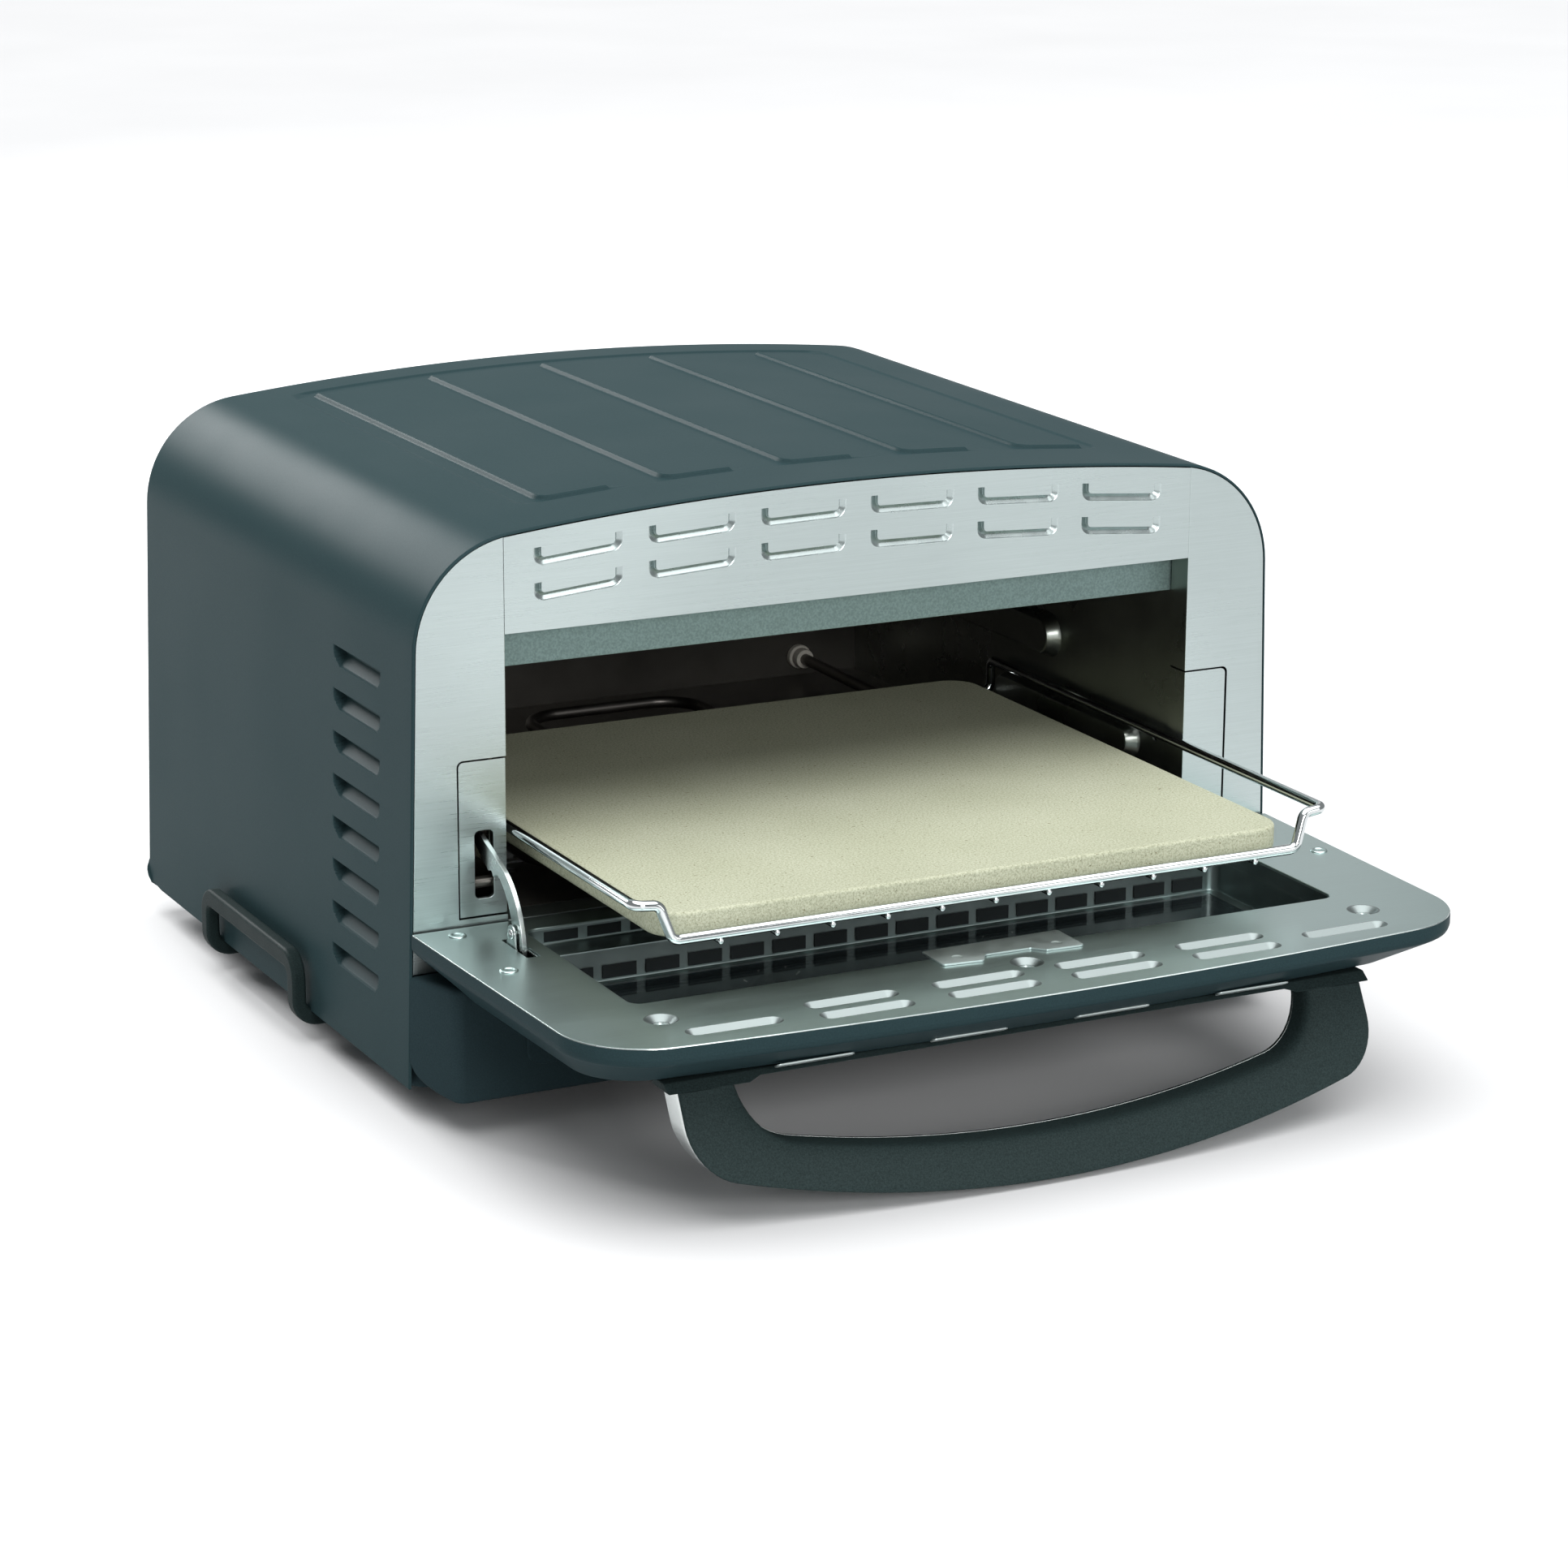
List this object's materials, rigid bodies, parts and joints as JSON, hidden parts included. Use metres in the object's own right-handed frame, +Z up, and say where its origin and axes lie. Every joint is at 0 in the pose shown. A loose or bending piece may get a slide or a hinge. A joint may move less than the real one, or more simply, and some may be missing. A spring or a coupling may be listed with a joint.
{
  "type": "countertop pizza oven",
  "caption": "Low arched countertop oven with a drop-down window door, a bow handle, a wire rack that slides out with the door and a square baking stone.",
  "frame": {"origin": "on the worktop under the middle of the whole footprint, with the door open", "axes": "+X to the right of someone facing the oven, +Y to the back, +Z up"},
  "size_m": [0.495, 0.586, 0.2902],
  "materials": {
    "housing_paint": "dark blue-grey semi-gloss paint",
    "rail_paint": "grey-green semi-gloss paint",
    "fascia_steel": "brushed from side to side",
    "base_paint": "very dark satin paint",
    "galvanised": "plain zinc-coated sheet",
    "cavity_steel": "dark heat-stained coating",
    "panel_steel": "brushed lengthwise",
    "band_steel": "brushed lengthwise",
    "bright_steel": "plain bright",
    "wire_chrome": "polished plating",
    "element_metal": "heat-darkened sheath",
    "stone_ceramic": "matt cream stoneware with fine dark specks",
    "grip_plastic": "fine-grained dark grey",
    "control_plastic": "plain moulded",
    "foot_rubber": "matt black",
    "lens_plastic": "clear red",
    "tinted_glass": "dark tinted",
    "wool": "loose mineral wool"
  },
  "bodies": {
    "oven": {"arm_guide": "galvanised", "base_cover": "base_paint", "base_pan": "base_paint", "carry_handle_left": "grip_plastic", "carry_handle_right": "grip_plastic", "cavity_back": "cavity_steel", "cavity_floor": "cavity_steel", "cavity_roof": "cavity_steel", "cavity_wall_left": "cavity_steel", "cavity_wall_right": "cavity_steel", "control_bezel": "base_paint", "cord_gland": "grip_plastic", "element_brackets": "galvanised", "element_lower": "element_metal", "element_upper": "element_metal", "fascia_left": "fascia_steel", "fascia_right": "fascia_steel", "fascia_sill": "fascia_steel", "fascia_top": "fascia_steel", "feet": "foot_rubber", "front_rail": "rail_paint", "guide_lower_left": "cavity_steel", "guide_lower_right": "cavity_steel", "guide_upper_left": "cavity_steel", "guide_upper_right": "cavity_steel", "hinge_lugs": "galvanised", "housing_wrap": "housing_paint", "indicator_lenses": "lens_plastic", "insert_left": "fascia_steel", "insert_right": "fascia_steel", "insulation": "wool", "rear_panel": "galvanised", "rear_screws": "bright_steel", "roof_ribs": "housing_paint", "thermostat": "control_plastic", "timer": "control_plastic"},
    "door": {"door_inner_panel": "panel_steel", "door_shell": "housing_paint", "window_frame": "panel_steel", "door_glass": "tinted_glass", "glass_clamp": "panel_steel", "door_rivets": "bright_steel", "door_screws": "bright_steel", "hinge_brackets": "galvanised", "hinge_pins": "bright_steel", "arm_bracket": "galvanised", "arm_pin": "bright_steel", "handle_base": "grip_plastic", "handle_grip": "grip_plastic", "handle_band": "band_steel"},
    "hinge_arm": {"hinge_arm": "panel_steel"},
    "rack": {"rack_frame": "wire_chrome", "rack_rods": "wire_chrome"},
    "stone": {"pizza_stone": "stone_ceramic"},
    "knob_temperature": {"knob_temperature": "grip_plastic"},
    "knob_timer": {"knob_timer": "grip_plastic"}
  },
  "joints": [
    {"name": "door_hinge", "type": "hinge", "parent": "oven", "child": "door", "pos_m": [0, -0.091, 0.0894], "axis": [-1, 0, 0], "range_deg": [0, 90]},
    {"name": "rack_slide", "type": "slide", "parent": "oven", "child": "rack", "axis": [0, 1, 0], "range_m": [0, 0.1621]},
    {"name": "arm_pivot", "type": "hinge", "parent": "door", "child": "hinge_arm", "pos_m": [-0.197, -0.1222, 0.0985], "axis": [-1, 0, 0], "range_deg": [-8.1, 0]},
    {"name": "stone_lift", "type": "slide", "parent": "rack", "child": "stone", "axis": [0, 0, 1], "range_m": [0, 0.025]},
    {"name": "temperature_turn", "type": "hinge", "parent": "oven", "child": "knob_temperature", "pos_m": [-0.062, -0.1155, 0.046], "axis": [0, -1, 0], "range_deg": [-270, 0]},
    {"name": "timer_turn", "type": "hinge", "parent": "oven", "child": "knob_timer", "pos_m": [0.062, -0.1155, 0.046], "axis": [0, -1, 0], "range_deg": [-300, 0]}
  ],
  "couplings": [
    {"joint": "rack_slide", "follows": "door_hinge", "m_per_rad": 0.10313},
    {"joint": "arm_pivot", "follows": "door_hinge", "ratio": -0.0889}
  ]
}
